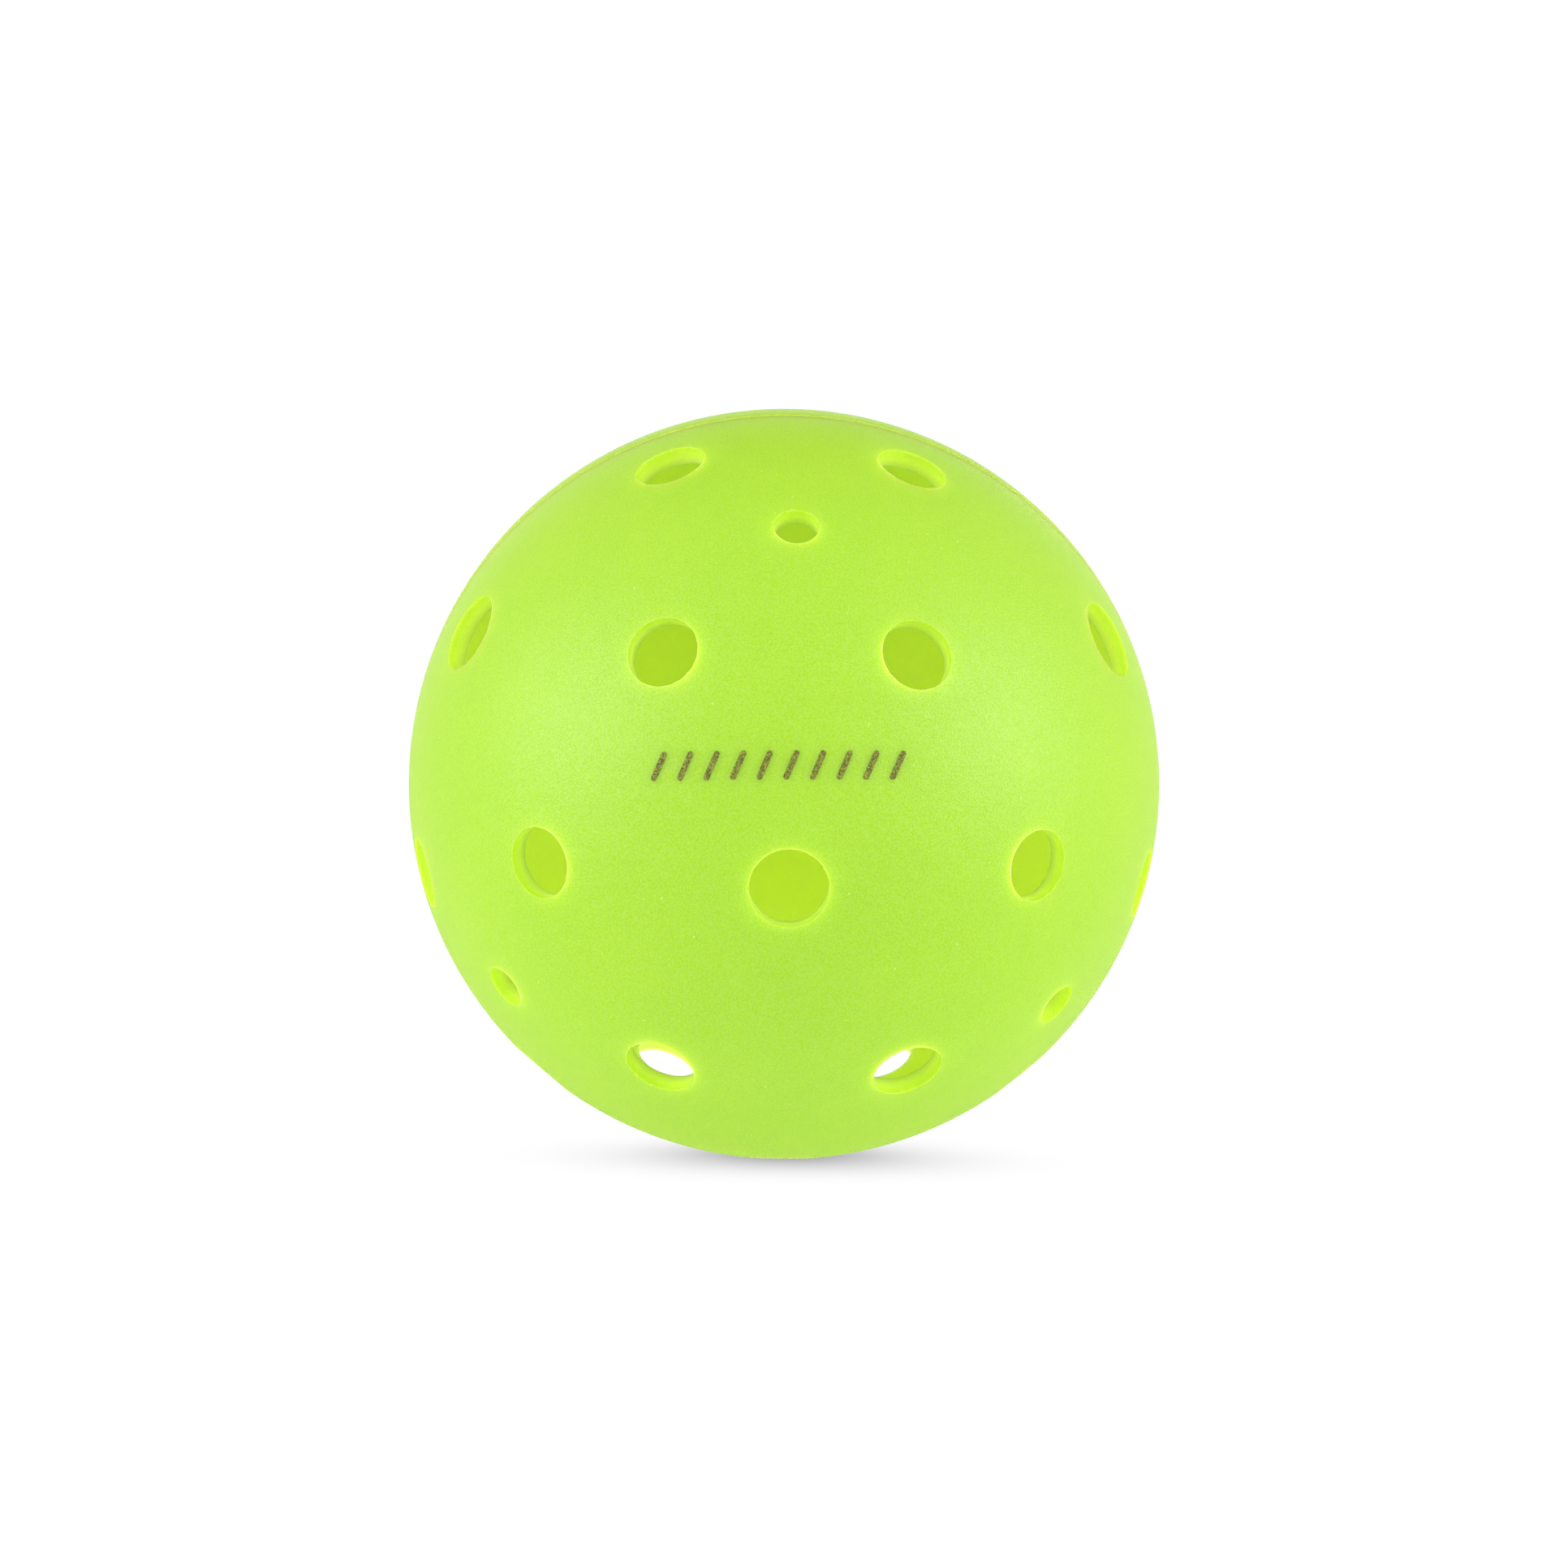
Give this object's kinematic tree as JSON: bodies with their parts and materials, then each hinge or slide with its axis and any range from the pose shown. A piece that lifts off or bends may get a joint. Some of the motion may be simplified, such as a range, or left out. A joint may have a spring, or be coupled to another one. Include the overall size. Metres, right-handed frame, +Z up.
{
  "type": "pickleball ball",
  "caption": "Hollow, perforated plastic ball for pickleball, welded from matching half shells, with round holes in several sizes.",
  "frame": {"origin": "centre of the ball, which is also the centre of its bounding box", "axes": "Y is the pole axis of the half shells: -Y out through the front pole hole, +Y out through the back pole hole; the weld lies in the XZ plane; +Z is up through the small hole straight above the front pole; +X is to the right seen from the front"},
  "size_m": [0.074, 0.0736, 0.074],
  "materials": {
    "shell_plastic": "matte, slightly see-through neon yellow-green polyethylene with a fine moulded grain",
    "weld_plastic": "the same plastic, fused and trimmed, a little rougher and paler",
    "print_ink": "thin speckled olive pad-print ink"
  },
  "bodies": {
    "root": {"front_shell": "shell_plastic", "back_shell": "shell_plastic", "weld_bead": "weld_plastic", "printed_mark": "print_ink"}
  },
  "joints": []
}
